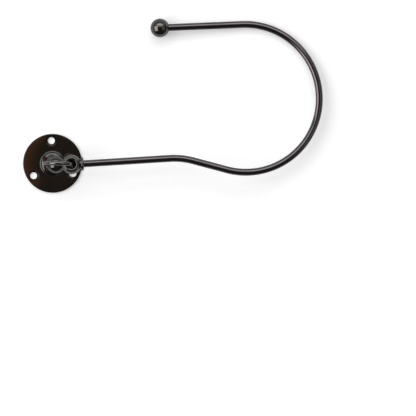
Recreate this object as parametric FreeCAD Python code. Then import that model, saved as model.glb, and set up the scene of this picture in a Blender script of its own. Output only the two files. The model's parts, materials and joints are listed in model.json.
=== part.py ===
import FreeCAD, Part
import math
import os

# Curtain holdback: a round wall plate, a post with a drilled ball, a link ring, and a
# hook arm whose own drilled ball hangs on the ring. All sizes are in millimetres.
# The plate's back face lies in the plane Z = 0 with its centre at the origin. Z points
# out of the wall and the arm runs along X. The arm lies as it comes to rest on that
# plane, on its end ball and on the far side of its hook.

# Wall plate
PLATE_D = 50.0
PLATE_T = 3.0
PLATE_RIM_T = 1.8
PLATE_EDGE_R = 0.4
WALL_HOLE_D = 6.0
WALL_SINK_D = 8.8
WALL_HOLE_PCD = 38.5
WALL_HOLE_COUNT = 3
FIRST_HOLE_DEG = 93.0

# Post: foot on the plate, then stem, collar and ball on the leaning axis
POST_LEAN_DEG = 14.0
POST_TURN_DEG = -4.0
FOOT_D = 21.7
FOOT_H = 3.2
FOOT_BEAD_H = 2.4
FOOT_GROOVE_D = 17.8
POST_NECK_D = 9.6
POST_COLLAR_D = 14.5
POST_COLLAR_T = 2.0
POST_COLLAR_UP = 4.8
POST_NECK_RISE = 0.1
POST_BALL_D = 15.5
POST_LIP_R = 1.0

# Screw that holds the post from behind the plate
POST_SCREW_D = 4.0
POST_SCREW_HEAD_D = 7.5
POST_SCREW_LEN = 9.0
POST_SCREW_SLOT_W = 1.0
POST_SCREW_SLOT_DEEP = 1.1
POST_SCREW_TIP_ROOM = 1.0
PLATE_SCREW_CLEARANCE = 0.2
THREAD_CLEARANCE = 0.05

# Link ring and the bores that it runs in
RING_WIRE_D = 3.8
EYE_BORE_D = 6.5
LINK_CLEARANCE = 0.35
BALL_GAP = 0.4

# Arm
ARM_BALL_D = 16.5
ARM_LIP_R = 1.8
ARM_NECK_D = 8.4
ARM_NECK_L = 0.8
ARM_COLLAR_D = 11.4
ARM_COLLAR_T = 2.5
ROD_D = 6.0
ROD_SOCKET_DEEP = 4.8
ROD_CLEARANCE = 0.05
SHANK_L = 83.0
CRANK_DEG = 18.5
CRANK_R = 62.5
CRANK_L = 29.2
HOOK_R = 62.5
HOOK_TURN_DEG = 197.5
TIP_L = 69.5
END_BALL_D = 16.0
END_BORE_DEEP = 8.0
END_BORE_CHAMFER = 0.4
SHANK_YAW_DEG = 3.3

# Rounds of the search for the arm's rest on the wall plane
SETTLE_ROUNDS = 60

ORIGIN = FreeCAD.Vector(0, 0, 0)
X_AXIS = FreeCAD.Vector(1, 0, 0)
Y_AXIS = FreeCAD.Vector(0, 1, 0)
Z_AXIS = FreeCAD.Vector(0, 0, 1)

# Sizes that follow from the values above
rod_r = ROD_D / 2
wire_r = RING_WIRE_D / 2
bore_r = EYE_BORE_D / 2
post_ball_r = POST_BALL_D / 2
arm_ball_r = ARM_BALL_D / 2
end_ball_r = END_BALL_D / 2
post_lip_out = bore_r + POST_LIP_R
arm_lip_out = bore_r + ARM_LIP_R
lean = math.radians(POST_LEAN_DEG)
post_turn = math.radians(POST_TURN_DEG)
lean_way = FreeCAD.Vector(math.cos(post_turn), math.sin(post_turn), 0)
post_foot_centre = Z_AXIS * PLATE_T
post_axis = lean_way * math.sin(lean) + Z_AXIS * math.cos(lean)
post_bore_axis = lean_way * math.cos(lean) - Z_AXIS * math.sin(lean)
neck_to_ball = math.sqrt(post_ball_r**2 - (POST_NECK_D / 2) ** 2)
post_ball_up = POST_COLLAR_UP + POST_COLLAR_T + POST_NECK_RISE + neck_to_ball
post_ball_centre = post_foot_centre + post_axis * post_ball_up

# The wire runs along the far wall of each bore, by this much outside the bore's axis
wire_offset = bore_r - wire_r - LINK_CLEARANCE

# The plate is flat under the foot, and outside it falls in one crown to the rim
seat_r = FOOT_D / 2
crown_run = PLATE_D / 2 - seat_r
crown_fall = PLATE_T - PLATE_RIM_T
crown_r = (crown_run**2 + crown_fall**2) / (2 * crown_fall)


def crown_height(radius):
    return PLATE_T - crown_r + math.sqrt(crown_r**2 - (radius - seat_r) ** 2)


def heading(angle):
    """Unit vector along a heading in the arm's plan: U along the shank, V towards the tip."""
    return FreeCAD.Vector(math.cos(angle), math.sin(angle), 0)


def left_of(angle):
    return FreeCAD.Vector(-math.sin(angle), math.cos(angle), 0)


# Arm's plan in its own plane, from the eye's centre
crank = math.radians(CRANK_DEG)
hook_turn = math.radians(HOOK_TURN_DEG)
tip_heading = hook_turn - crank
crank_start = X_AXIS * SHANK_L
crank_centre = crank_start - Y_AXIS * CRANK_R
crank_mid = crank_centre + left_of(-crank / 2) * CRANK_R
crank_end = crank_centre + left_of(-crank) * CRANK_R
hook_start = crank_end + heading(-crank) * CRANK_L
hook_centre = hook_start + left_of(-crank) * HOOK_R
hook_mid = hook_centre - left_of(hook_turn / 2 - crank) * HOOK_R
hook_end = hook_centre - left_of(tip_heading) * HOOK_R
tip_end = hook_end + heading(tip_heading) * TIP_L


def arm_frame(slope_u, slope_v):
    """Unit vectors of the arm's plane for a rise of slope_u along U and slope_v along V."""
    yaw = math.radians(SHANK_YAW_DEG)
    run_u = math.sqrt(1 - slope_u**2)
    along = FreeCAD.Vector(math.cos(yaw) * run_u, math.sin(yaw) * run_u, slope_u)
    side = FreeCAD.Vector(-math.sin(yaw), math.cos(yaw), 0)
    rise = along.cross(side)
    share = slope_v / run_u
    across = side * math.sqrt(1 - share**2) + rise * share
    return along, across, along.cross(across)


def link_places(normal):
    """Ring radius to the bores, ring centre and eye centre, with the eye's bore along normal."""
    climb = -math.asin(post_bore_axis.dot(normal))
    ring_up = normal - post_bore_axis * post_bore_axis.dot(normal)
    ring_up.normalize()
    between = math.pi / 2 + climb
    bore_seat_r = (post_ball_r + arm_ball_r + BALL_GAP) / (2 * math.sin(between / 2))
    ring_centre = post_ball_centre + ring_up * bore_seat_r
    to_eye = post_bore_axis * math.cos(climb) + ring_up * math.sin(climb)
    return bore_seat_r, ring_centre, ring_centre + to_eye * bore_seat_r


def settle_arm():
    """Find the two slopes that rest the end ball and the hook's low side on the plane Z = 0."""
    slope_u = 0.0
    slope_v = 0.0
    for _ in range(SETTLE_ROUNDS):
        eye = link_places(arm_frame(slope_u, slope_v)[2])[2]
        drop_tip = end_ball_r - eye.z
        drop_hook = rod_r - eye.z + HOOK_R * math.hypot(slope_u, slope_v)
        det = tip_end.x * hook_centre.y - tip_end.y * hook_centre.x
        slope_u = (drop_tip * hook_centre.y - tip_end.y * drop_hook) / det
        slope_v = (tip_end.x * drop_hook - drop_tip * hook_centre.x) / det
    return arm_frame(slope_u, slope_v)


arm_along, arm_across, arm_normal = settle_arm()
bore_seat_r, ring_centre, eye_centre = link_places(arm_normal)
ring_normal = post_bore_axis.cross(ring_centre - post_ball_centre)
ring_mean_r = bore_seat_r + wire_offset


def line(start, end):
    return Part.LineSegment(start, end).toShape()


def arc(start, middle, end):
    return Part.Arc(start, middle, end).toShape()


def out_up(out, up):
    """Point of a turned outline: out from the turning axis and up along it."""
    return X_AXIS * out + Z_AXIS * up


def turned(outline, base, axis):
    """Turn a closed outline about its up axis, and stand it on base along axis."""
    solid = Part.Face(Part.Wire(outline)).revolve(ORIGIN, Z_AXIS, 360)
    solid.Placement = FreeCAD.Placement(base, FreeCAD.Rotation(Z_AXIS, axis))
    return solid


def bead(outer_d, thick, base, axis):
    """Disc with a half-round rim, from base along axis."""
    flat_r = (outer_d - thick) / 2
    top = Z_AXIS * thick
    outline = [
        line(ORIGIN, out_up(flat_r, 0)),
        arc(out_up(flat_r, 0), out_up(outer_d / 2, thick / 2), out_up(flat_r, thick)),
        line(out_up(flat_r, thick), top),
        line(top, ORIGIN),
    ]
    return turned(outline, base, axis)


def drilled_ball(ball_r, lip_r, centre, axis):
    """Ball with a bore along axis, whose two mouths are rounded into the ball."""
    lip_out = bore_r + lip_r
    lip_up = math.sqrt((ball_r - lip_r) ** 2 - lip_out**2)
    lip_share = ball_r / (ball_r - lip_r)
    mid_angle = (math.pi + math.atan2(lip_up, lip_out)) / 2
    mid_out = lip_out + lip_r * math.cos(mid_angle)
    mid_up = lip_up + lip_r * math.sin(mid_angle)
    meet_out = lip_out * lip_share
    meet_up = lip_up * lip_share
    outline = [
        line(out_up(bore_r, -lip_up), out_up(bore_r, lip_up)),
        arc(out_up(bore_r, lip_up), out_up(mid_out, mid_up), out_up(meet_out, meet_up)),
        arc(out_up(meet_out, meet_up), out_up(ball_r, 0), out_up(meet_out, -meet_up)),
        arc(out_up(meet_out, -meet_up), out_up(mid_out, -mid_up), out_up(bore_r, -lip_up)),
    ]
    return turned(outline, centre, axis)


def in_arm_frame(shape):
    """Place a shape modelled with U along X, V along Y and the eye at the origin."""
    matrix = FreeCAD.Matrix(
        arm_along.x, arm_across.x, arm_normal.x, eye_centre.x,
        arm_along.y, arm_across.y, arm_normal.y, eye_centre.y,
        arm_along.z, arm_across.z, arm_normal.z, eye_centre.z,
        0, 0, 0, 1)
    return shape.transformed(matrix)


def make_wall_plate():
    plate_r = PLATE_D / 2
    crown_mid = seat_r + crown_run / 2
    outline = [
        line(ORIGIN, out_up(plate_r, 0)),
        line(out_up(plate_r, 0), out_up(plate_r, PLATE_RIM_T)),
        arc(
            out_up(plate_r, PLATE_RIM_T),
            out_up(crown_mid, crown_height(crown_mid)),
            out_up(seat_r, PLATE_T),
        ),
        line(out_up(seat_r, PLATE_T), post_foot_centre),
        line(post_foot_centre, ORIGIN),
    ]
    plate = turned(outline, ORIGIN, Z_AXIS)
    rings = [e for e in plate.Edges if e.isClosed()]
    rim_edges = [e for e in rings if PLATE_EDGE_R < e.BoundBox.ZMin < PLATE_T - PLATE_EDGE_R]
    plate = plate.makeFillet(PLATE_EDGE_R, rim_edges)
    hole_r = WALL_HOLE_D / 2
    sink_deep = WALL_SINK_D / 2 - hole_r
    sink_up = crown_height(WALL_HOLE_PCD / 2) - sink_deep
    for index in range(WALL_HOLE_COUNT):
        angle = math.radians(FIRST_HOLE_DEG + index * 360 / WALL_HOLE_COUNT)
        place = heading(angle) * (WALL_HOLE_PCD / 2)
        hole = Part.makeCylinder(hole_r, PLATE_T, place)
        sink = Part.makeCone(hole_r, hole_r + PLATE_T, PLATE_T, place + Z_AXIS * sink_up)
        plate = plate.cut([hole, sink])
    screw_hole_r = POST_SCREW_D / 2 + PLATE_SCREW_CLEARANCE
    head_r = POST_SCREW_HEAD_D / 2
    screw_hole = Part.makeCylinder(screw_hole_r, PLATE_T)
    head_sink = Part.makeCone(head_r, screw_hole_r, head_r - screw_hole_r)
    return plate.cut([screw_hole, head_sink])


def make_foot():
    """Round foot with a bead for its rim and a low cone inside the bead."""
    bead_r = FOOT_BEAD_H / 2
    bead_out = seat_r - bead_r
    groove_out = FOOT_GROOVE_D / 2
    groove_up = bead_r + math.sqrt(bead_r**2 - (bead_out - groove_out) ** 2)
    neck_r = POST_NECK_D / 2
    top = Z_AXIS * FOOT_H
    outline = [
        line(ORIGIN, out_up(bead_out, 0)),
        arc(out_up(bead_out, 0), out_up(seat_r, bead_r), out_up(groove_out, groove_up)),
        line(out_up(groove_out, groove_up), out_up(neck_r, FOOT_H)),
        line(out_up(neck_r, FOOT_H), top),
        line(top, ORIGIN),
    ]
    return turned(outline, post_foot_centre, Z_AXIS)


def make_post():
    stem_root = FOOT_H / 2
    stem_l = post_ball_up - post_lip_out - stem_root
    stem_base = post_foot_centre + post_axis * stem_root
    stem = Part.makeCylinder(POST_NECK_D / 2, stem_l, stem_base, post_axis)
    collar = bead(POST_COLLAR_D, POST_COLLAR_T, post_foot_centre + post_axis * POST_COLLAR_UP, post_axis)
    ball = drilled_ball(post_ball_r, POST_LIP_R, post_ball_centre, post_bore_axis)
    screw_deep = POST_SCREW_LEN - PLATE_T + POST_SCREW_TIP_ROOM
    screw_hole = Part.makeCylinder(POST_SCREW_D / 2 + THREAD_CLEARANCE, screw_deep, post_foot_centre)
    return make_foot().fuse([stem, collar, ball]).cut(screw_hole).removeSplitter()


def make_post_screw():
    head_r = POST_SCREW_HEAD_D / 2
    shank_r = POST_SCREW_D / 2
    head = Part.makeCone(head_r, shank_r, head_r - shank_r)
    shank = Part.makeCylinder(shank_r, POST_SCREW_LEN)
    slot = Part.makeBox(POST_SCREW_HEAD_D, POST_SCREW_SLOT_W, POST_SCREW_SLOT_DEEP)
    slot.translate(FreeCAD.Vector(-head_r, -POST_SCREW_SLOT_W / 2, 0))
    return head.fuse(shank).removeSplitter().cut(slot)


def make_link_ring():
    return Part.makeTorus(ring_mean_r, wire_r, ring_centre, ring_normal)


# Places along the arm's root, from the eye's centre
arm_neck_at = math.sqrt(arm_ball_r**2 - (ARM_NECK_D / 2) ** 2)
arm_collar_at = arm_neck_at + ARM_NECK_L
arm_collar_end = arm_collar_at + ARM_COLLAR_T
rod_start = arm_collar_end - ROD_SOCKET_DEEP
tip_back = -heading(tip_heading)
rod_end = tip_end + tip_back * (end_ball_r - END_BORE_DEEP)


def make_arm_eye():
    ball = drilled_ball(arm_ball_r, ARM_LIP_R, ORIGIN, Z_AXIS)
    neck_l = arm_collar_end - arm_lip_out
    neck = Part.makeCylinder(ARM_NECK_D / 2, neck_l, X_AXIS * arm_lip_out, X_AXIS)
    collar = bead(ARM_COLLAR_D, ARM_COLLAR_T, X_AXIS * arm_collar_at, X_AXIS)
    socket = Part.makeCylinder(rod_r + ROD_CLEARANCE, ROD_SOCKET_DEEP, X_AXIS * rod_start, X_AXIS)
    eye = ball.fuse([neck, collar]).cut(socket).removeSplitter()
    return in_arm_frame(eye)


def make_arm_rod():
    path = Part.Wire([
        line(X_AXIS * rod_start, crank_start),
        arc(crank_start, crank_mid, crank_end),
        line(crank_end, hook_start),
        arc(hook_start, hook_mid, hook_end),
        line(hook_end, rod_end),
    ])
    section = Part.Wire(Part.makeCircle(rod_r, X_AXIS * rod_start, X_AXIS))
    return in_arm_frame(path.makePipeShell([section], True, False))


def make_end_ball():
    ball = Part.makeSphere(end_ball_r, tip_end)
    end_bore_r = rod_r + ROD_CLEARANCE
    bore = Part.makeCylinder(end_bore_r, END_BORE_DEEP, rod_end, tip_back)
    chamfer_r = end_bore_r + END_BORE_CHAMFER
    chamfer_at = math.sqrt(end_ball_r**2 - chamfer_r**2) - END_BORE_CHAMFER
    chamfer_l = end_ball_r - chamfer_at
    chamfer_base = tip_end + tip_back * chamfer_at
    mouth = Part.makeCone(end_bore_r, end_bore_r + chamfer_l, chamfer_l, chamfer_base, tip_back)
    return in_arm_frame(ball.cut([bore, mouth]))


PIECES = {
    "wall_plate": make_wall_plate,
    "post": make_post,
    "post_screw": make_post_screw,
    "link_ring": make_link_ring,
    "arm_eye": make_arm_eye,
    "arm_rod": make_arm_rod,
    "end_ball": make_end_ball,
}

os.makedirs("parts", exist_ok=True)
for name, make in PIECES.items():
    make().exportStep("parts/" + name + ".step")
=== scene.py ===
# %% [markdown]
# # A curtain holdback in polished black nickel
# A holdback keeps an open curtain to the side of a window. This one is a round wall plate with a
# short leaning post, a link ring, and a bent rod arm that hangs on the ring by a drilled ball.
# The solid model already has every size and every joint, so the work here is on surfaces: each
# piece is made again as a fine, smooth mesh in the same place, because a polished metal shows
# every facet, and then it gets a plated finish, light to reflect, and a camera.

# %% Load the solid model
import json
import math

import bmesh
import bpy
from mathutils import Matrix, Vector


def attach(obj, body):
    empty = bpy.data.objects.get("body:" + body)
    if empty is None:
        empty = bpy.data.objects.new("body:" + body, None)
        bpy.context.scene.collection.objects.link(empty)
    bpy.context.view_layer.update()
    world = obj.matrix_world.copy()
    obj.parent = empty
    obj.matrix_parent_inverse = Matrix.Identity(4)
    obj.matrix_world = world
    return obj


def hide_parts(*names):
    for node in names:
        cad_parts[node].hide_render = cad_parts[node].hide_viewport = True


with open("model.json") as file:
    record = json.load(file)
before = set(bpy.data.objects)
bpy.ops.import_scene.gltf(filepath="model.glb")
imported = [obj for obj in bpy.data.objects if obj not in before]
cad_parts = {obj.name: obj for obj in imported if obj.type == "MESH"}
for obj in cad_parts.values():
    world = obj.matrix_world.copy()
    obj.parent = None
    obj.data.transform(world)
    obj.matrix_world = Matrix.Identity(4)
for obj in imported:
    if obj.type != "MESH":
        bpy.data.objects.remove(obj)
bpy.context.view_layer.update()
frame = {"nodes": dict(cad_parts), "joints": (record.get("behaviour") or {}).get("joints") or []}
MM = 0.001
MICRON = 1e-6
UP = Vector((0, 0, 1))
print("nodes:", sorted(frame["nodes"]))

# %% [markdown]
# The two hinges give the places that everything else hangs on. The ring turns in a bore through
# the post's ball, and the arm's ball turns on the ring. From those two axes follow the lean of the
# post, the plane of the arm and the place of the ring, so no place has to be measured twice.

# %% Read the hinges
joints = {joint["name"]: joint for joint in frame["joints"]}
post_ball_at = Vector(joints["ring_swing"]["pos_m"])
post_bore_axis = Vector(joints["ring_swing"]["axis"]).normalized()
arm_ball_at = Vector(joints["arm_swing"]["pos_m"])
arm_normal = Vector(joints["arm_swing"]["axis"]).normalized()
SHANK_YAW = math.radians(3.3)


def axes_at(origin, x_axis, z_axis):
    """Matrix of a right-handed frame with the given X and Z axes."""
    y_axis = z_axis.cross(x_axis)
    turn = Matrix((x_axis, y_axis, z_axis)).transposed().to_4x4()
    return Matrix.Translation(origin) @ turn


post_side = UP.cross(post_bore_axis).normalized()
post_axis = post_bore_axis.cross(post_side)
shank_run = Vector((math.cos(SHANK_YAW), math.sin(SHANK_YAW), 0))
shank_drop = -shank_run.dot(arm_normal) / arm_normal.z
arm_along = (shank_run + UP * shank_drop).normalized()
arm_place = axes_at(arm_ball_at, arm_along, arm_normal)
print("post leans by %.1f degrees" % math.degrees(post_axis.angle(UP)))

# %% [markdown]
# The finishes, the room and some of the shapes are node trees. Two small functions keep the code
# that builds them short. One makes any node, with its settings and its links. The other makes a
# Math node from other nodes' outputs and plain numbers.

# %% Helpers for node trees


def add_node(tree, kind, links_in=None, **settings):
    """Make a node, set its properties and sockets, and link other nodes' outputs into it."""
    node = tree.nodes.new(kind)
    for key, value in settings.items():
        if key in node.bl_rna.properties:
            setattr(node, key, value)
        else:
            node.inputs[key.replace("_", " ").title()].default_value = value
    for socket, source in (links_in or {}).items():
        tree.links.new(source, node.inputs[socket])
    return node


def maths(tree, operation, *values):
    """Output of a Math node whose inputs are other outputs or plain numbers."""
    node = tree.nodes.new("ShaderNodeMath")
    node.operation = operation
    for slot, value in enumerate(values):
        if isinstance(value, (int, float)):
            node.inputs[slot].default_value = value
        else:
            tree.links.new(value, node.inputs[slot])
    return node.outputs[0]


print("two helpers for node trees")

# %% [markdown]
# ## The plating
# Black nickel is a thin, dark, mirror-like coat over polished steel. It reflects only about a
# ninth of the light that falls on it, so it looks black where the room is dark and grey where it
# mirrors something white. Up close the coat isn't quite even: its tint drifts, buffing leaves
# hair-fine lines, and the surface is very slightly wavy. All the pieces share those effects, so
# they are one node group that gives a tint mask, a gloss mask and a height, and each material
# chooses how strongly it uses them. The buffing lines are a noise that is stretched one way.

# %% Node group for the plated surface
BUFF_TURN = (0.3, 0.2, 0.7)
BUFF_STRETCH = (1.0, 0.06, 1.0)
BUFF_HEIGHT = 0.15
plating = bpy.data.node_groups.new("plated_surface", "ShaderNodeTree")
for direction, socket_names in (
        ("INPUT", ("Cloud Scale", "Buff Scale", "Wave Scale")),
        ("OUTPUT", ("Tint", "Gloss", "Height"))):
    for socket_name in socket_names:
        plating.interface.new_socket(
            name=socket_name, in_out=direction, socket_type="NodeSocketFloat")
surface_in = plating.nodes.new("NodeGroupInput").outputs
place = add_node(plating, "ShaderNodeTexCoord").outputs["Object"]
buff_place = add_node(
    plating, "ShaderNodeMapping", {"Vector": place}, Rotation=BUFF_TURN, Scale=BUFF_STRETCH)


def surface_noise(where, scale, detail):
    """Noise at one of the group's scales."""
    node = add_node(plating, "ShaderNodeTexNoise", {"Vector": where, "Scale": scale}, detail=detail)
    return node.outputs["Fac"]


cloud = surface_noise(place, surface_in["Cloud Scale"], detail=3.0)
buff = surface_noise(buff_place.outputs["Vector"], surface_in["Buff Scale"], detail=2.0)
wave = surface_noise(place, surface_in["Wave Scale"], detail=1.0)
add_node(plating, "NodeGroupOutput", {
    "Tint": cloud,
    "Gloss": maths(plating, "MULTIPLY", cloud, buff),
    "Height": maths(plating, "MULTIPLY_ADD", buff, BUFF_HEIGHT, wave),
})
print("plated_surface group has", len(plating.nodes), "nodes")

# %% [markdown]
# Each finish is one Principled BSDF with Metallic at 1. Base Color is how much light the metal
# gives back. The tint mask drifts it between two close colours, the gloss mask drifts Roughness
# between two close values, and the height feeds a Bump node with a very small distance.

# %% Recipe for a finish
TINT_SPAN = (0.35, 0.65)
GLOSS_SPAN = (0.1, 0.4)


def plated_finish(name, dark, light, rough, cloud_scale, buff_scale, wave_scale, bump_um):
    """A metal finish: two tints, two roughness values, the scales of its effects, its bump."""
    material = bpy.data.materials.new(name)
    material.use_nodes = True
    tree = material.node_tree
    surface = add_node(
        tree, "ShaderNodeGroup", node_tree=plating,
        Cloud_Scale=cloud_scale, Buff_Scale=buff_scale, Wave_Scale=wave_scale).outputs
    tint = add_node(tree, "ShaderNodeValToRGB", {"Fac": surface["Tint"]})
    for stop, position, colour in zip(tint.color_ramp.elements, TINT_SPAN, (dark, light)):
        stop.position = position
        stop.color = (*colour, 1)
    roughness = add_node(
        tree, "ShaderNodeMapRange", {"Value": surface["Gloss"]},
        From_Min=GLOSS_SPAN[0], From_Max=GLOSS_SPAN[1], To_Min=rough[0], To_Max=rough[1])
    bump = add_node(
        tree, "ShaderNodeBump", {"Height": surface["Height"]}, Distance=bump_um * MICRON)
    shader = tree.nodes["Principled BSDF"].inputs
    shader["Metallic"].default_value = 1.0
    tree.links.new(tint.outputs["Color"], shader["Base Color"])
    tree.links.new(roughness.outputs["Result"], shader["Roughness"])
    tree.links.new(bump.outputs["Normal"], shader["Normal"])
    print("finish:", name)
    return material


# %% Five finishes
plate_finish = plated_finish(
    "black_nickel_plate", dark=(0.12, 0.112, 0.105), light=(0.143, 0.133, 0.124),
    rough=(0.06, 0.1), cloud_scale=45, buff_scale=1200, wave_scale=160, bump_um=3)
turned_finish = plated_finish(
    "black_nickel_turned", dark=(0.09, 0.088, 0.085), light=(0.107, 0.104, 0.099),
    rough=(0.04, 0.07), cloud_scale=90, buff_scale=1600, wave_scale=300, bump_um=3)
rod_finish = plated_finish(
    "black_nickel_rod", dark=(0.107, 0.099, 0.103), light=(0.126, 0.116, 0.121),
    rough=(0.04, 0.07), cloud_scale=60, buff_scale=1400, wave_scale=260, bump_um=3)
ring_finish = plated_finish(
    "black_nickel_ring", dark=(0.12, 0.115, 0.112), light=(0.145, 0.138, 0.132),
    rough=(0.05, 0.08), cloud_scale=120, buff_scale=1600, wave_scale=300, bump_um=3)
screw_finish = plated_finish(
    "bright_zinc_screw", dark=(0.5, 0.5, 0.49), light=(0.62, 0.62, 0.6),
    rough=(0.2, 0.34), cloud_scale=200, buff_scale=2400, wave_scale=600, bump_um=8)

# %% [markdown]
# ## Turned pieces
# The plate, the post and the balls are made on a lathe in real life, so each one is an outline
# turned about an axis. An outline is a list of radius and height pairs, and its curved parts come
# from arcs. Every ring of points gets the same number of steps, and a point on the axis becomes a
# single pole, so the shell is closed with no doubled points.

# %% Lathe
TURN_STEPS = 160
ON_AXIS = 1e-9


def arc_outline(centre, radius, start_deg, end_deg, steps):
    """Points of an arc in an outline, both ends included."""
    points = []
    for index in range(steps + 1):
        angle = math.radians(start_deg + (end_deg - start_deg) * index / steps)
        points.append((centre[0] + radius * math.cos(angle), centre[1] + radius * math.sin(angle)))
    return points


def turned(name, outline, place, closed_loop=False):
    """Mesh of an outline in millimetres, turned about Z and then moved to its place."""
    build = bmesh.new()
    rings = []
    for radius, height in outline:
        if radius < ON_AXIS:
            rings.append([build.verts.new((0, 0, height * MM))])
            continue
        ring = []
        for step in range(TURN_STEPS):
            angle = math.tau * step / TURN_STEPS
            flat = (radius * MM * math.cos(angle), radius * MM * math.sin(angle))
            ring.append(build.verts.new((*flat, height * MM)))
        rings.append(ring)
    pairs = list(zip(rings, rings[1:]))
    if closed_loop:
        pairs.append((rings[-1], rings[0]))
    for low, high in pairs:
        for step in range(TURN_STEPS):
            after = (step + 1) % TURN_STEPS
            corners = [low[step % len(low)], low[after % len(low)]]
            corners += [high[after % len(high)], high[step % len(high)]]
            build.faces.new(dict.fromkeys(corners))
    bmesh.ops.recalc_face_normals(build, faces=build.faces)
    mesh = bpy.data.meshes.new(name)
    build.to_mesh(mesh)
    build.free()
    mesh.transform(place)
    return mesh


print("lathe: a full turn has", TURN_STEPS, "steps")

# %% [markdown]
# A piece that is turned about more than one axis is several shells, and a Boolean modifier joins
# them or cuts one out of another. The finished mesh then takes the place of the solid model's
# piece. It rides on the same body, so it moves with the joints. Smooth shading hides its facets,
# and edges sharper than a set angle stay crisp.

# %% Join and dress
SHARP_ANGLE = math.radians(32)


def show(item):
    """Put an object into the scene."""
    bpy.context.scene.collection.objects.link(item)


def plain_mesh(item):
    """The mesh of an object after its modifiers. The object itself is removed."""
    result = item.evaluated_get(bpy.context.evaluated_depsgraph_get())
    mesh = bpy.data.meshes.new_from_object(result)
    bpy.data.objects.remove(item)
    return mesh


def combined(base, tool, operation):
    """Boolean of two meshes as one new mesh."""
    base_holder = bpy.data.objects.new("base_holder", base)
    tool_holder = bpy.data.objects.new("tool_holder", tool)
    show(base_holder)
    show(tool_holder)
    cut = base_holder.modifiers.new("cut", "BOOLEAN")
    cut.operation = operation
    cut.solver = "EXACT"
    cut.object = tool_holder
    mesh = plain_mesh(base_holder)
    bpy.data.objects.remove(tool_holder)
    return mesh


def dress(name, mesh, node, body, material):
    """Show a mesh in place of a node of the solid model, on that node's body."""
    piece = bpy.data.objects.new(name, mesh)
    show(piece)
    mesh.materials.clear()
    mesh.materials.append(material)
    mesh.shade_smooth()
    mesh.set_sharp_from_angle(angle=SHARP_ANGLE)
    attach(piece, body)
    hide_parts(node)
    triangles = sum(len(face.vertices) - 2 for face in mesh.polygons)
    print(name, "has", triangles, "triangles")


print("edges over %.0f degrees stay sharp" % math.degrees(SHARP_ANGLE))

# %% [markdown]
# ## Wall plate
# The plate is a disc that is flat under the post's foot and falls in a slight crown to a crisp
# rim, with a hole in its middle for the screw that holds the post.

# %% Disc of the wall plate
PLATE_R = 25.0
PLATE_T = 3.0
PLATE_RIM_T = 1.8
PLATE_EDGE_R = 0.4
FOOT_R = 10.85
SCREW_HOLE_R = 2.2
SCREW_HEAD_R = 3.75
HOLE_CIRCLE_R = 19.25
EDGE_STEPS = 10
CROWN_STEPS = 36
crown_run = PLATE_R - FOOT_R
crown_fall = PLATE_T - PLATE_RIM_T
crown_r = (crown_run**2 + crown_fall**2) / (2 * crown_fall)
crown_centre_z = PLATE_T - crown_r
edge_out = PLATE_R - PLATE_EDGE_R
edge_up = crown_centre_z + math.sqrt((crown_r - PLATE_EDGE_R) ** 2 - (edge_out - FOOT_R) ** 2)
edge_deg = math.degrees(math.atan2(edge_up - crown_centre_z, edge_out - FOOT_R))
hole_front_z = crown_centre_z + math.sqrt(crown_r**2 - (HOLE_CIRCLE_R - FOOT_R) ** 2)
plate_outline = [(SCREW_HEAD_R, 0), (PLATE_R, 0)]
plate_outline += arc_outline((edge_out, edge_up), PLATE_EDGE_R, 0, edge_deg, EDGE_STEPS)
plate_outline += arc_outline((FOOT_R, crown_centre_z), crown_r, edge_deg, 90, CROWN_STEPS)[1:]
plate_outline += [(SCREW_HOLE_R, PLATE_T), (SCREW_HOLE_R, SCREW_HEAD_R - SCREW_HOLE_R)]
plate_disc = turned("wall_plate_disc", plate_outline, Matrix.Identity(4), closed_loop=True)
print("disc faces:", len(plate_disc.polygons))

# %% [markdown]
# Three countersunk holes sit on a circle. A hole that repeats is work for Geometry Nodes: the tree
# puts one cutter on each point of a circle and subtracts them all, and its inputs are the sizes
# that a maker would change. Every tree here starts with inputs and ends with a finish in the same
# way, so three helpers do that and run the tree.

# %% Helpers for geometry trees


def size_inputs(tree, sizes, finish):
    """Give a geometry tree an input for each size and for its finish, and return their values."""
    values = {}
    for socket_name, value in sizes.items():
        kind = "NodeSocketInt" if isinstance(value, int) else "NodeSocketFloat"
        socket = tree.interface.new_socket(name=socket_name, in_out="INPUT", socket_type=kind)
        values[socket.identifier] = value
    socket = tree.interface.new_socket(
        name="Finish", in_out="INPUT", socket_type="NodeSocketMaterial")
    values[socket.identifier] = finish
    return values


def end_tree(tree, name, geometry, finish):
    """Make the instances in a geometry real, give it the finish and send it out of the tree."""
    real = add_node(tree, "GeometryNodeRealizeInstances", {"Geometry": geometry})
    done = add_node(
        tree, "GeometryNodeSetMaterial",
        {"Geometry": real.outputs["Geometry"], "Material": finish})
    tree.interface.new_socket(name=name, in_out="OUTPUT", socket_type="NodeSocketGeometry")
    add_node(tree, "NodeGroupOutput", {name: done.outputs["Geometry"]})
    print(tree.name, "tree has", len(tree.nodes), "nodes")


def grown(start, tree, values):
    """Run a geometry tree on a start mesh with the given inputs, and return a plain mesh."""
    holder = bpy.data.objects.new("tree_holder", start)
    show(holder)
    modifier = holder.modifiers.new("tree", "NODES")
    modifier.node_group = tree
    for key, value in values.items():
        modifier[key] = value
    return plain_mesh(holder)


print("three helpers for geometry trees")

# %% Inputs of the drill tree
HOLE_COUNT = 3
FIRST_HOLE = math.radians(93)
HOLE_R = 3.0
SINK_R = 4.4
drilling = bpy.data.node_groups.new("drill_on_a_circle", "GeometryNodeTree")
drilling.interface.new_socket(name="Plate", in_out="INPUT", socket_type="NodeSocketGeometry")
drill_values = size_inputs(drilling, {
    "Hole Count": HOLE_COUNT,
    "First Hole": FIRST_HOLE,
    "Circle Radius": HOLE_CIRCLE_R * MM,
    "Hole Radius": HOLE_R * MM,
    "Sink Radius": SINK_R * MM,
    "Front Height": hole_front_z * MM,
}, plate_finish)
drill_in = drilling.nodes.new("NodeGroupInput").outputs
print("drill tree takes", len(drill_values), "values")

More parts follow.
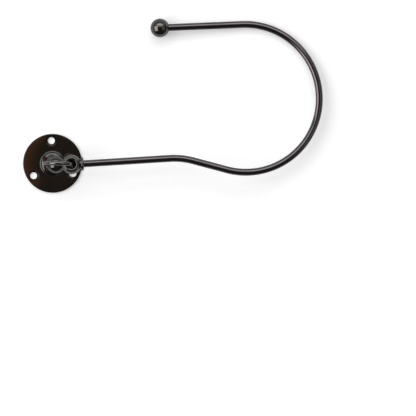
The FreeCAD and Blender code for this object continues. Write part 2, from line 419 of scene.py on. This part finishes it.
# %% [markdown]
# The drill is a plain cylinder. The countersink is a cone at 45 degrees that is as wide as the hole
# at its lower end and goes on past the front face, so it is made twice as deep as the sink.

# %% Drill and countersink
DRILL_L = 20.0
HOLE_STEPS = 96
drill = add_node(
    drilling, "GeometryNodeMeshCylinder", {"Radius": drill_in["Hole Radius"]},
    Vertices=HOLE_STEPS, Depth=DRILL_L * MM)
sink_depth = maths(drilling, "SUBTRACT", drill_in["Sink Radius"], drill_in["Hole Radius"])
sink = add_node(
    drilling, "GeometryNodeMeshCone", {
        "Radius Bottom": drill_in["Hole Radius"],
        "Radius Top": maths(drilling, "ADD", sink_depth, drill_in["Sink Radius"]),
        "Depth": maths(drilling, "MULTIPLY", sink_depth, 2.0),
    }, Vertices=HOLE_STEPS)
sink_base = maths(drilling, "SUBTRACT", drill_in["Front Height"], sink_depth)
sink_lift = add_node(drilling, "ShaderNodeCombineXYZ", {"Z": sink_base})
sink_placed = add_node(
    drilling, "GeometryNodeTransform",
    {"Geometry": sink.outputs["Mesh"], "Translation": sink_lift.outputs["Vector"]})
print("each hole has", HOLE_STEPS, "steps")

# %% Cuts of the drill tree
spin = add_node(drilling, "ShaderNodeCombineXYZ", {"Z": drill_in["First Hole"]})
circle = add_node(
    drilling, "GeometryNodeMeshCircle",
    {"Vertices": drill_in["Hole Count"], "Radius": drill_in["Circle Radius"]})
circle_turned = add_node(
    drilling, "GeometryNodeTransform",
    {"Geometry": circle.outputs["Mesh"], "Rotation": spin.outputs["Vector"]})
drilled = drill_in["Plate"]
for cutter in (drill.outputs["Mesh"], sink_placed.outputs["Geometry"]):
    cutters = add_node(
        drilling, "GeometryNodeInstanceOnPoints",
        {"Points": circle_turned.outputs["Geometry"], "Instance": cutter})
    cutters_real = add_node(
        drilling, "GeometryNodeRealizeInstances", {"Geometry": cutters.outputs["Instances"]})
    cut = add_node(
        drilling, "GeometryNodeMeshBoolean",
        {"Mesh 1": drilled, "Mesh 2": cutters_real.outputs["Geometry"]},
        operation="DIFFERENCE", solver="EXACT")
    drilled = cut.outputs["Mesh"]
end_tree(drilling, "Drilled Plate", drilled, drill_in["Finish"])

# %% Drill the plate
plate_mesh = grown(plate_disc, drilling, drill_values)
dress("wall_plate_drilled", plate_mesh, "wall_plate", "wall_mount", plate_finish)

# %% [markdown]
# ## Post
# The post's foot has a bead for its rim and a low cone inside the bead. On it stands a leaning
# stem with a collar and a ball, and the ball is drilled across for the ring. The foot turns about
# the plate's axis, the stem about the leaning axis and the ball about its own bore, so the post is
# three turned shells that a Boolean joins. Another Boolean bores the foot for the screw.

# %% Foot of the post
FOOT_H = 3.2
FOOT_BEAD_R = 1.2
FOOT_GROOVE_R = 8.9
STEM_R = 4.8
BEAD_STEPS = 32
to_mm = 1 / MM
post_foot_at = Vector((0, 0, PLATE_T * MM))
post_place = axes_at(post_foot_at, post_bore_axis, post_axis)
post_ball_up = (post_ball_at - post_foot_at).length * to_mm
bead_out = FOOT_R - FOOT_BEAD_R
groove_deg = math.degrees(math.acos((FOOT_GROOVE_R - bead_out) / FOOT_BEAD_R))
groove_up = FOOT_BEAD_R * (1 + math.sin(math.radians(groove_deg)))
bead = arc_outline((bead_out, FOOT_BEAD_R), FOOT_BEAD_R, -90, groove_deg, BEAD_STEPS)[:-1]
foot_outline = [(0, 0), *bead, (FOOT_GROOVE_R, groove_up), (STEM_R, FOOT_H), (0, FOOT_H)]
foot_mesh = turned("post_foot", foot_outline, Matrix.Translation(post_foot_at))
print("post ball stands %.1f mm up its axis" % post_ball_up)

# %% [markdown]
# Both balls are drilled the same way. The mouths of the bore are rounded into the ball, because
# the wire that runs through is curved. The outline is a closed loop that never touches the axis:
# up along the bore, round one lip, round the ball, and round the other lip. The arm's ball has
# the wider lips. Both collars have a half-round rim, so they share a function too.

# %% Drilled balls and collars
POST_BALL_R = 7.75
POST_LIP_R = 1.0
ARM_BALL_R = 8.25
ARM_LIP_R = 1.8
BORE_R = 3.25
LIP_STEPS = 20
BALL_STEPS = 64
COLLAR_STEPS = 24


def drilled_ball(name, ball_r, lip_r, place):
    """Ball with a bore along its up axis and rounded mouths."""
    lip_out = BORE_R + lip_r
    lip_up = math.sqrt((ball_r - lip_r) ** 2 - lip_out**2)
    meet_deg = math.degrees(math.atan2(lip_up, lip_out))
    outline = arc_outline((lip_out, lip_up), lip_r, 180, meet_deg, LIP_STEPS)
    outline += arc_outline((0, 0), ball_r, meet_deg, -meet_deg, BALL_STEPS)[1:]
    outline += arc_outline((lip_out, -lip_up), lip_r, -meet_deg, -180, LIP_STEPS)[1:]
    return turned(name, outline, place, closed_loop=True)


def collar_rim(outer_r, thick, start_up):
    """Half-round rim of a collar, from its lower to its upper side."""
    half = thick / 2
    return arc_outline((outer_r - half, start_up + half), half, -90, 90, COLLAR_STEPS)


post_ball = drilled_ball(
    "post_ball", POST_BALL_R, POST_LIP_R, axes_at(post_ball_at, post_axis, post_bore_axis))
print("post ball faces:", len(post_ball.polygons))

# %% Stem of the post, and the whole post
COLLAR_R = 7.25
COLLAR_T = 2.0
COLLAR_UP = 4.8
POST_HOLE_R = 2.05
POST_HOLE_DEEP = 7.0
HOLE_START = -1
stem_low = FOOT_H / 2
stem_top = post_ball_up - BORE_R - POST_LIP_R
stem_outline = [(0, stem_low), (STEM_R, stem_low), (STEM_R, COLLAR_UP)]
stem_outline += collar_rim(COLLAR_R, COLLAR_T, COLLAR_UP)
stem_outline += [(STEM_R, COLLAR_UP + COLLAR_T), (STEM_R, stem_top), (0, stem_top)]
stem_mesh = turned("post_stem", stem_outline, post_place)
post_solid = combined(combined(foot_mesh, stem_mesh, "UNION"), post_ball, "UNION")
hole_outline = [(0, HOLE_START), (POST_HOLE_R, HOLE_START)]
hole_outline += [(POST_HOLE_R, POST_HOLE_DEEP), (0, POST_HOLE_DEEP)]
post_hole = turned("post_hole", hole_outline, Matrix.Translation(post_foot_at))
post_mesh = combined(post_solid, post_hole, "DIFFERENCE")
dress("post_turned", post_mesh, "post", "wall_mount", turned_finish)

# %% [markdown]
# ## Link ring
# The ring is a short length of wire bent round until its ends meet. A circle swept along a circle
# gives it, in a tree whose inputs are the two radii. The butt joint of the wire shows as a hairline
# groove, so the sweep gets a little thinner at one place on its way round. The depth of the groove
# is a share of the wire's radius, and its width a share of the way round.

# %% Size and place of the ring
WIRE_R = 1.9
LINK_CLEARANCE = 0.35
bore_slant = post_bore_axis.dot(arm_normal)
ring_lean = -math.asin(bore_slant)
ring_up = (arm_normal - post_bore_axis * bore_slant).normalized()
ball_pitch = (arm_ball_at - post_ball_at).length * to_mm
seat_r = ball_pitch / (2 * math.sin((math.pi / 2 + ring_lean) / 2))
ring_at = post_ball_at + ring_up * seat_r * MM
ring_mean_r = seat_r + BORE_R - WIRE_R - LINK_CLEARANCE
print("ring is %.2f mm across its wire's middle" % (2 * ring_mean_r))

# %% Tree that bends a wire ring
GROOVE_DEPTH = 0.12
GROOVE_WIDTH = 0.0035
JOINT_AT = 0.5
RING_STEPS = 480
WIRE_STEPS = 40
bending = bpy.data.node_groups.new("butted_wire_ring", "GeometryNodeTree")
ring_values = size_inputs(bending, {
    "Ring Radius": ring_mean_r * MM,
    "Wire Radius": WIRE_R * MM,
    "Groove Depth": GROOVE_DEPTH,
    "Groove Width": GROOVE_WIDTH,
}, ring_finish)
bend_in = bending.nodes.new("NodeGroupInput").outputs
hoop = add_node(
    bending, "GeometryNodeCurvePrimitiveCircle", {"Radius": bend_in["Ring Radius"]},
    Resolution=RING_STEPS)
wire = add_node(
    bending, "GeometryNodeCurvePrimitiveCircle", {"Radius": bend_in["Wire Radius"]},
    Resolution=WIRE_STEPS)
way_round = add_node(bending, "GeometryNodeSplineParameter").outputs["Factor"]
from_joint = maths(bending, "ABSOLUTE", maths(bending, "SUBTRACT", way_round, JOINT_AT))
thinnest = maths(bending, "SUBTRACT", 1.0, bend_in["Groove Depth"])
groove = add_node(
    bending, "ShaderNodeMapRange",
    {"Value": from_joint, "From Max": bend_in["Groove Width"], "To Min": thinnest},
    interpolation_type="SMOOTHSTEP", To_Max=1.0)
swept_ring = add_node(
    bending, "GeometryNodeCurveToMesh", {
        "Curve": hoop.outputs["Curve"],
        "Profile Curve": wire.outputs["Curve"],
        "Scale": groove.outputs["Result"],
    })
end_tree(bending, "Ring", swept_ring.outputs["Mesh"], bend_in["Finish"])

# %% Bend the ring and hang it
ring_mesh = grown(bpy.data.meshes.new("ring_start"), bending, ring_values)
ring_across = post_bore_axis.cross(ring_up)
ring_mesh.transform(axes_at(ring_at, -ring_up, ring_across))
dress("link_ring_wire", ring_mesh, "link_ring", "ring", ring_finish)

# %% [markdown]
# ## Arm
# The arm's own ball is drilled like the post's. Behind it come a short neck and a collar with a
# half-round rim, and the rod goes into a socket in the collar. Neck and collar share the arm's
# axis, so they are one outline.

# %% Ball and collar of the arm
NECK_R = 4.2
NECK_L = 0.8
ARM_COLLAR_R = 5.7
ARM_COLLAR_T = 2.5
SOCKET_R = 3.05
SOCKET_DEEP = 4.8
collar_at = math.sqrt(ARM_BALL_R**2 - NECK_R**2) + NECK_L
collar_end = collar_at + ARM_COLLAR_T
rod_start = collar_end - SOCKET_DEEP
neck_root = BORE_R + ARM_LIP_R
neck_outline = [(0, neck_root), (NECK_R, neck_root), (NECK_R, collar_at)]
neck_outline += collar_rim(ARM_COLLAR_R, ARM_COLLAR_T, collar_at)
neck_outline += [(SOCKET_R, collar_end), (SOCKET_R, rod_start), (0, rod_start)]
neck_mesh = turned("arm_neck", neck_outline, axes_at(arm_ball_at, arm_normal, arm_along))
arm_ball = drilled_ball("arm_ball", ARM_BALL_R, ARM_LIP_R, arm_place)
eye_mesh = combined(arm_ball, neck_mesh, "UNION")
dress("arm_eye_turned", eye_mesh, "arm_eye", "arm", turned_finish)

# %% [markdown]
# The rod is a straight bar that a bending machine feeds forward and turns: a straight shank, a
# slight bend one way, a short straight, a long bend the other way, and a straight tip. The tree
# does the same. It makes a line of points, gives each step the heading that the rod has there,
# adds the steps up with Accumulate Field, and sweeps a circle along the result.

# %% Inputs of the rod's tree
ROD_R = 3.0
SHANK_L = 83.0
CRANK_TURN = math.radians(18.5)
BEND_R = 62.5
CRANK_L = 29.2
HOOK_TURN = math.radians(197.5)
TIP_L = 69.5
first_bend_at = SHANK_L - rod_start
second_bend_at = first_bend_at + BEND_R * CRANK_TURN + CRANK_L
rod_length = second_bend_at + BEND_R * HOOK_TURN + TIP_L
feeding = bpy.data.node_groups.new("bent_rod", "GeometryNodeTree")
rod_values = size_inputs(feeding, {
    "Rod Radius": ROD_R * MM,
    "Rod Length": rod_length * MM,
    "Bend Radius": BEND_R * MM,
    "First Bend At": first_bend_at * MM,
    "First Turn": CRANK_TURN,
    "Second Bend At": second_bend_at * MM,
    "Second Turn": HOOK_TURN,
}, rod_finish)
feed_in = feeding.nodes.new("NodeGroupInput").outputs
print("rod is %.1f mm long before it is bent" % rod_length)

# %% [markdown]
# A step leads from one point to the next, and its heading is taken at its middle. The first point
# stays where it is, so its step has no length.

# %% Heading and steps of the rod
ROD_POINTS = 430


def turn_so_far(distance, bend_at, turn):
    """Angle turned in one bend after the rod has been fed by a distance."""
    past = maths(feeding, "SUBTRACT", distance, bend_at)
    angle = maths(feeding, "DIVIDE", past, feed_in["Bend Radius"])
    return maths(feeding, "MINIMUM", maths(feeding, "MAXIMUM", angle, 0.0), turn)


step_length = maths(feeding, "DIVIDE", feed_in["Rod Length"], ROD_POINTS - 1)
point_index = feeding.nodes.new("GeometryNodeInputIndex").outputs["Index"]
mid_step = maths(feeding, "MULTIPLY", maths(feeding, "SUBTRACT", point_index, 0.5), step_length)
first_turn = turn_so_far(mid_step, feed_in["First Bend At"], feed_in["First Turn"])
second_turn = turn_so_far(mid_step, feed_in["Second Bend At"], feed_in["Second Turn"])
heading = maths(feeding, "SUBTRACT", second_turn, first_turn)
stride = maths(feeding, "MULTIPLY", maths(feeding, "MINIMUM", point_index, 1.0), step_length)
one_step = add_node(feeding, "ShaderNodeCombineXYZ", {
    "X": maths(feeding, "MULTIPLY", maths(feeding, "COSINE", heading), stride),
    "Y": maths(feeding, "MULTIPLY", maths(feeding, "SINE", heading), stride),
})
print("rod has", ROD_POINTS, "points along it")

# %% Sweep of the rod
BAR_STEPS = 56
walked = add_node(
    feeding, "GeometryNodeAccumulateField", {0: one_step.outputs["Vector"]},
    data_type="FLOAT_VECTOR")
straight_line = add_node(feeding, "GeometryNodeMeshLine", Count=ROD_POINTS)
bent_line = add_node(
    feeding, "GeometryNodeSetPosition",
    {"Geometry": straight_line.outputs["Mesh"], "Position": walked.outputs[0]})
bent_curve = add_node(
    feeding, "GeometryNodeMeshToCurve", {"Mesh": bent_line.outputs["Geometry"]})
bar = add_node(
    feeding, "GeometryNodeCurvePrimitiveCircle", {"Radius": feed_in["Rod Radius"]},
    Resolution=BAR_STEPS)
swept_rod = add_node(
    feeding, "GeometryNodeCurveToMesh",
    {"Curve": bent_curve.outputs["Curve"], "Profile Curve": bar.outputs["Curve"]},
    Fill_Caps=True)
end_tree(feeding, "Rod", swept_rod.outputs["Mesh"], feed_in["Finish"])

# %% Bend the rod and put it in the collar
rod_mesh = grown(bpy.data.meshes.new("rod_start"), feeding, rod_values)
rod_mesh.transform(arm_place @ Matrix.Translation((rod_start * MM, 0, 0)))
dress("arm_rod_bent", rod_mesh, "arm_rod", "arm", rod_finish)

# %% [markdown]
# The tip ends in a plain ball, so that the curtain isn't snagged. The ball is bored for the rod
# and the mouth of the bore has a small chamfer, which shows as a dark line round the rod.

# %% Place of the end ball
tip_heading = HOOK_TURN - CRANK_TURN
tip_run = Vector((math.cos(tip_heading), math.sin(tip_heading), 0))
hook_centre = Vector((
    SHANK_L + 2 * BEND_R * math.sin(CRANK_TURN) + CRANK_L * math.cos(CRANK_TURN),
    BEND_R * (2 * math.cos(CRANK_TURN) - 1) - CRANK_L * math.sin(CRANK_TURN),
    0))
tip_start = hook_centre + Vector((tip_run.y, -tip_run.x, 0)) * BEND_R
end_ball_at = arm_place @ ((tip_start + tip_run * TIP_L) * MM)
tip_back = (arm_place.to_3x3() @ -tip_run).normalized()
print("end ball's middle is %.2f mm above the wall's plane" % (end_ball_at.z * to_mm))

# %% End ball
END_BALL_R = 8.0
MOUTH_CHAMFER = 0.4
POLE_STEP_DEG = 1.0
END_BALL_STEPS = 80
mouth_r = SOCKET_R + MOUTH_CHAMFER
mouth_deg = math.degrees(math.acos(mouth_r / END_BALL_R))
mouth_at = END_BALL_R * math.sin(math.radians(mouth_deg))
end_outline = [(0, -END_BALL_R)]
end_outline += arc_outline((0, 0), END_BALL_R, POLE_STEP_DEG - 90, mouth_deg, END_BALL_STEPS)
end_outline += [(SOCKET_R, mouth_at - MOUTH_CHAMFER), (SOCKET_R, 0), (0, 0)]
end_mesh = turned("end_ball", end_outline, axes_at(end_ball_at, arm_normal, tip_back))
dress("end_ball_turned", end_mesh, "end_ball", "arm", turned_finish)

# %% [markdown]
# The countersunk screw behind the plate keeps the solid model's own mesh, which is right as it
# is, and only gets a bright zinc finish.

# %% Screw behind the plate
screw_mesh = frame["nodes"]["post_screw"].data
screw_mesh.materials.clear()
screw_mesh.materials.append(screw_finish)
print("post_screw keeps its mesh of", len(screw_mesh.polygons), "faces")

# %% [markdown]
# ## Floor, room and lights
# The holdback lies on a white table. The floor is a plain white surface, and for the rays that see
# it directly a little glow is added to its own light, just enough to make it white, so the shadow
# stays soft and pale. Rays that see it in a reflection get only a trace of that glow, which keeps
# the rims of the metal dark.

# %% Floor
FLOOR_HALF = 9.0
FLOOR_DROP = 0.2
FLOOR_GLOW = 0.3
MIRROR_GLOW = 0.02
TABLE_COLOUR = (0.888, 0.9, 0.91, 1)
floor_mesh = bpy.data.meshes.new("white_table")
floor_corners = [
    (x * FLOOR_HALF, y * FLOOR_HALF, -FLOOR_DROP * MM)
    for x, y in ((-1, -1), (1, -1), (1, 1), (-1, 1))]
floor_mesh.from_pydata(floor_corners, [], [(0, 1, 2, 3)])
floor = bpy.data.objects.new("white_table", floor_mesh)
show(floor)
table_white = bpy.data.materials.new("table_white")
table_white.use_nodes = True
table_tree = table_white.node_tree
table_tree.nodes.clear()
ray = table_tree.nodes.new("ShaderNodeLightPath").outputs
mirrored = maths(table_tree, "MAXIMUM", ray["Is Glossy Ray"], ray["Is Transmission Ray"])
mirror_glow = maths(table_tree, "MULTIPLY", mirrored, MIRROR_GLOW)
glow = maths(table_tree, "MULTIPLY_ADD", ray["Is Camera Ray"], FLOOR_GLOW, mirror_glow)
table_diffuse = add_node(table_tree, "ShaderNodeBsdfDiffuse", Color=TABLE_COLOUR)
table_glow = add_node(table_tree, "ShaderNodeEmission", {"Strength": glow})
table_sum = add_node(
    table_tree, "ShaderNodeAddShader", {0: table_diffuse.outputs[0], 1: table_glow.outputs[0]})
add_node(table_tree, "ShaderNodeOutputMaterial", {"Surface": table_sum.outputs[0]})
floor_mesh.materials.append(table_white)
print("white table is %.0f m wide" % (2 * FLOOR_HALF))

# %% [markdown]
# A polished black metal is drawn almost wholly by what it mirrors, so the room is part of the
# look. It is a dim grey with soft-edged patches of colour, laid one over the other in the World's
# node tree. A patch is given by the compass angle and the height of its middle, and by half its
# width and height, all in degrees as seen from the table.

# %% A patch of the room
room = bpy.data.worlds.new("dim_room")
room.use_nodes = True
bpy.context.scene.world = room
room_tree = room.node_tree
look = room_tree.nodes.new("ShaderNodeTexCoord").outputs["Generated"]
soft_edge = {"interpolation_type": "SMOOTHSTEP", "To_Min": 1.0, "To_Max": 0.0}


def part_of_look(towards):
    """How far the look points along a direction."""
    along = add_node(room_tree, "ShaderNodeVectorMath", {0: look}, operation="DOT_PRODUCT")
    along.inputs[1].default_value = towards
    return along.outputs["Value"]


def room_patch(under, colour, compass_deg, half_wide, height_deg, half_tall, soft):
    """Lay a soft-edged patch of colour in the room, by compass angle and height above the table."""
    compass = math.radians(compass_deg)
    ahead = part_of_look((math.cos(compass), math.sin(compass), 0))
    beside = part_of_look((-math.sin(compass), math.cos(compass), 0))
    turn = maths(room_tree, "ARCTAN2", beside, ahead)
    climb = maths(room_tree, "ARCSINE", part_of_look(UP))
    lift = maths(room_tree, "SUBTRACT", climb, math.radians(height_deg))
    masks = []
    for angle, half in ((turn, half_wide), (lift, half_tall)):
        edge = add_node(
            room_tree, "ShaderNodeMapRange", {"Value": maths(room_tree, "ABSOLUTE", angle)},
            From_Min=math.radians(half - soft), From_Max=math.radians(half + soft), **soft_edge)
        masks.append(edge.outputs["Result"])
    both = maths(room_tree, "MULTIPLY", *masks)
    layer = add_node(room_tree, "ShaderNodeMix", {"Factor": both}, data_type="RGBA")
    layer.inputs["B"].default_value = (*colour, 1)
    if isinstance(under, tuple):
        layer.inputs["A"].default_value = (*under, 1)
    else:
        room_tree.links.new(under, layer.inputs["A"])
    return layer.outputs["Result"]


print("room starts with", len(room_tree.nodes), "nodes")

# %% Room
room_patches = {
    "dark warm ceiling": {
        "colour": (0.088, 0.07, 0.057), "compass_deg": 0, "half_wide": 200,
        "height_deg": 90, "half_tall": 20, "soft": 6},
    "brown high on the left": {
        "colour": (0.295, 0.142, 0.086), "compass_deg": 178, "half_wide": 60,
        "height_deg": 66, "half_tall": 11, "soft": 10},
    "grey wall on the right": {
        "colour": (0.45, 0.45, 0.45), "compass_deg": 5, "half_wide": 35,
        "height_deg": 46, "half_tall": 20, "soft": 7},
    "low grey wall": {
        "colour": (0.4, 0.4, 0.4), "compass_deg": 120, "half_wide": 95,
        "height_deg": 15, "half_tall": 17, "soft": 6},
    "pale wall beyond the top of the picture": {
        "colour": (1.75, 1.75, 1.75), "compass_deg": 92, "half_wide": 50,
        "height_deg": 48.5, "half_tall": 20, "soft": 3.5},
}
walls = (0.075, 0.072, 0.07)
for patch_name, patch in room_patches.items():
    walls = room_patch(walls, **patch)
    print("room:", patch_name)
background = room_tree.nodes["Background"]
room_tree.links.new(walls, background.inputs["Color"])
background.inputs["Strength"].default_value = 1.0

# %% [markdown]
# Three area lights stand in the same room: a soft window on the left with a brighter middle, and a
# strip in front of the pale wall. Each one is given by the size that it has as seen from the
# holdback and by its brightness, and the watts follow from those.

# %% Lights
LIGHTS_AIM = Vector((0.1, 0.05, 0))


def soft_light(name, compass_deg, height_deg, distance, half_wide, half_tall, radiance):
    """Rectangular light by compass angle and height, with half its width and height in degrees."""
    compass = math.radians(compass_deg)
    height = math.radians(height_deg)
    level = math.cos(height)
    towards = Vector((math.cos(compass) * level, math.sin(compass) * level, math.sin(height)))
    lamp = bpy.data.lights.new(name, "AREA")
    lamp.shape = "RECTANGLE"
    lamp.size = 2 * distance * math.tan(math.radians(half_wide))
    lamp.size_y = 2 * distance * math.tan(math.radians(half_tall))
    lamp.energy = radiance * math.pi * lamp.size * lamp.size_y
    holder = bpy.data.objects.new(name, lamp)
    show(holder)
    holder.location = LIGHTS_AIM + towards * distance
    holder.rotation_euler = (-towards).to_track_quat("-Z", "Y").to_euler()
    print(name, "%.0f W" % lamp.energy)


soft_light(
    "window_light", compass_deg=187, height_deg=42.5, distance=6.0,
    half_wide=28, half_tall=19.5, radiance=2.8)
soft_light(
    "window_middle", compass_deg=175, height_deg=33, distance=3.5,
    half_wide=9, half_tall=8, radiance=0.6)
soft_light(
    "strip_light", compass_deg=92, height_deg=41.5, distance=3.0,
    half_wide=31, half_tall=4.5, radiance=1.6)

# %% [markdown]
# ## Camera
# The picture is taken from almost straight above through a long lens, a little from the tip's
# side. The frame is square, 416 by 416 pixels, and one pixel at the table is about 0.85 mm.

# %% Camera
CAMERA_FAR = 3.0
PIXEL_M = 0.8486 * MM
FRAME_PX = 416
SENSOR_MM = 36
aim_at = Vector((131.67, -38.18, 0)) * MM
view_up = Vector((-0.0172, 0.0728, 1)).normalized()
camera_data = bpy.data.cameras.new("camera")
camera_data.sensor_width = SENSOR_MM
camera_data.lens = SENSOR_MM * CAMERA_FAR / (FRAME_PX * PIXEL_M)
camera = bpy.data.objects.new("camera", camera_data)
show(camera)
across = Vector((0, 1, 0)).cross(view_up).normalized()
camera.matrix_world = axes_at(aim_at + view_up * CAMERA_FAR, across, view_up)
bpy.context.scene.camera = camera
bpy.context.scene.view_settings.view_transform = "Standard"
print("lens %.0f mm" % camera_data.lens)
